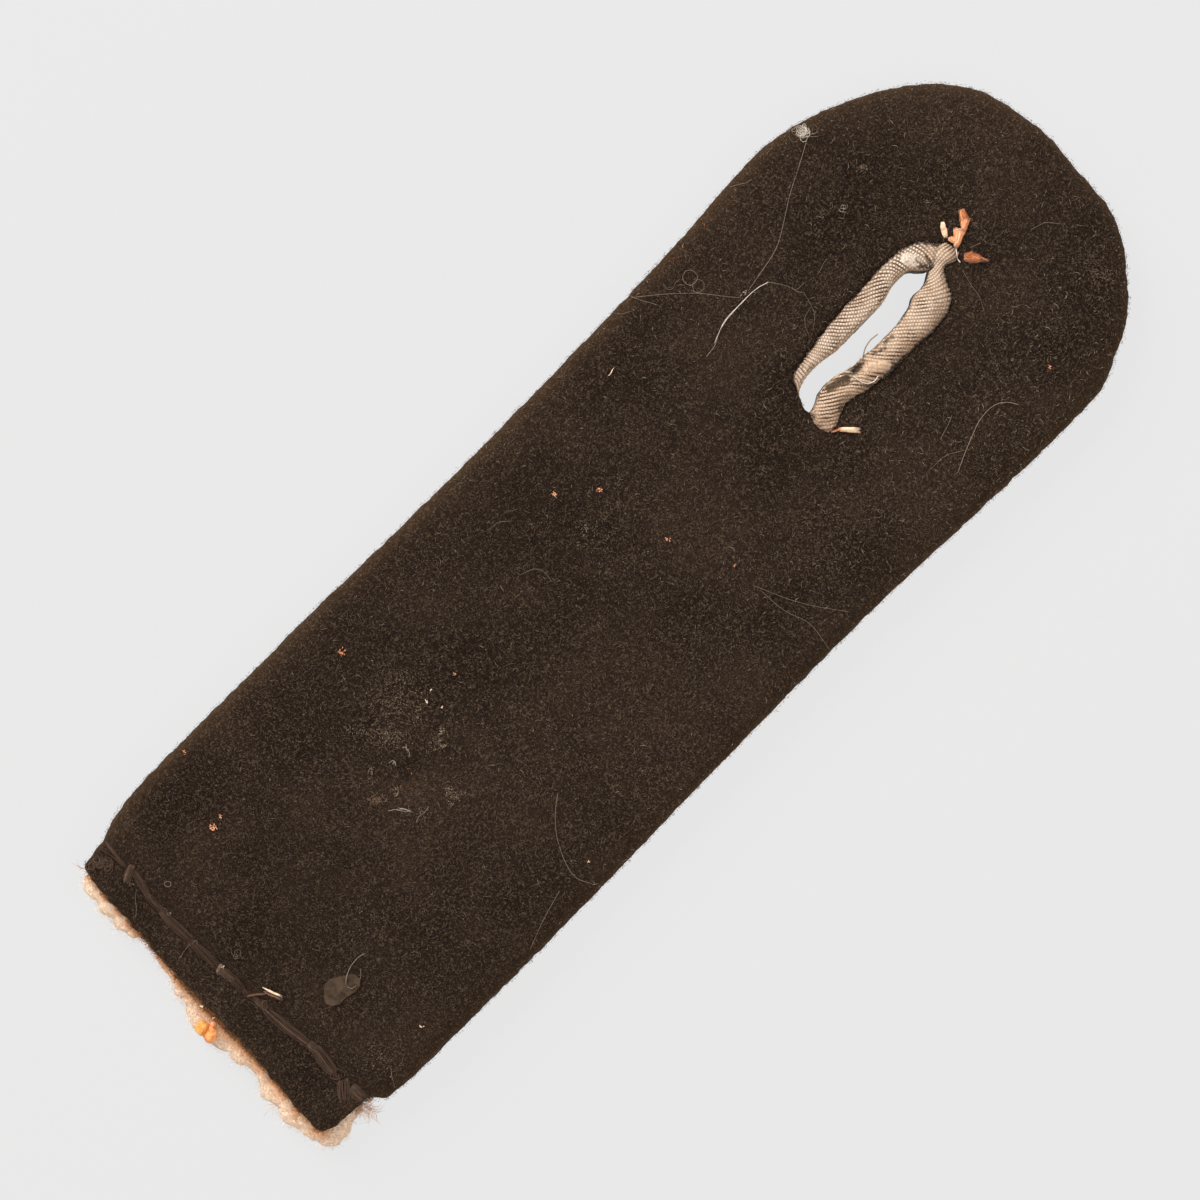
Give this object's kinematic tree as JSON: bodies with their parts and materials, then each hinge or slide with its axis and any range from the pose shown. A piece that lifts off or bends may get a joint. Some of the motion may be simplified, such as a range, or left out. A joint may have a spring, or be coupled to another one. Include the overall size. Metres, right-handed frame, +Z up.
{
  "type": "shoulder board",
  "caption": "Padded cloth shoulder strap with a round end, a bound buttonhole for the shoulder button and a raw end with a seam where it is sewn in.",
  "frame": {"origin": "under the middle of the strap, on the surface it lies on", "axes": "+Y along the strap to the button end, +X to its right seen from above, +Z up through the visible face"},
  "size_m": [0.0413, 0.1234, 0.0049],
  "materials": {
    "black_wool": "felted wool cloth with a short nap",
    "pale_felt": "loose felt padding",
    "beige_twill": "ribbed twill tape",
    "dark_thread": "stranded sewing thread",
    "orange_wool": "loose wool strands",
    "light_fibre": "hairs, lint and dust"
  },
  "bodies": {
    "root": {"cover": "black_wool", "core": "pale_felt", "buttonhole_binding": "beige_twill"}
  },
  "joints": []
}
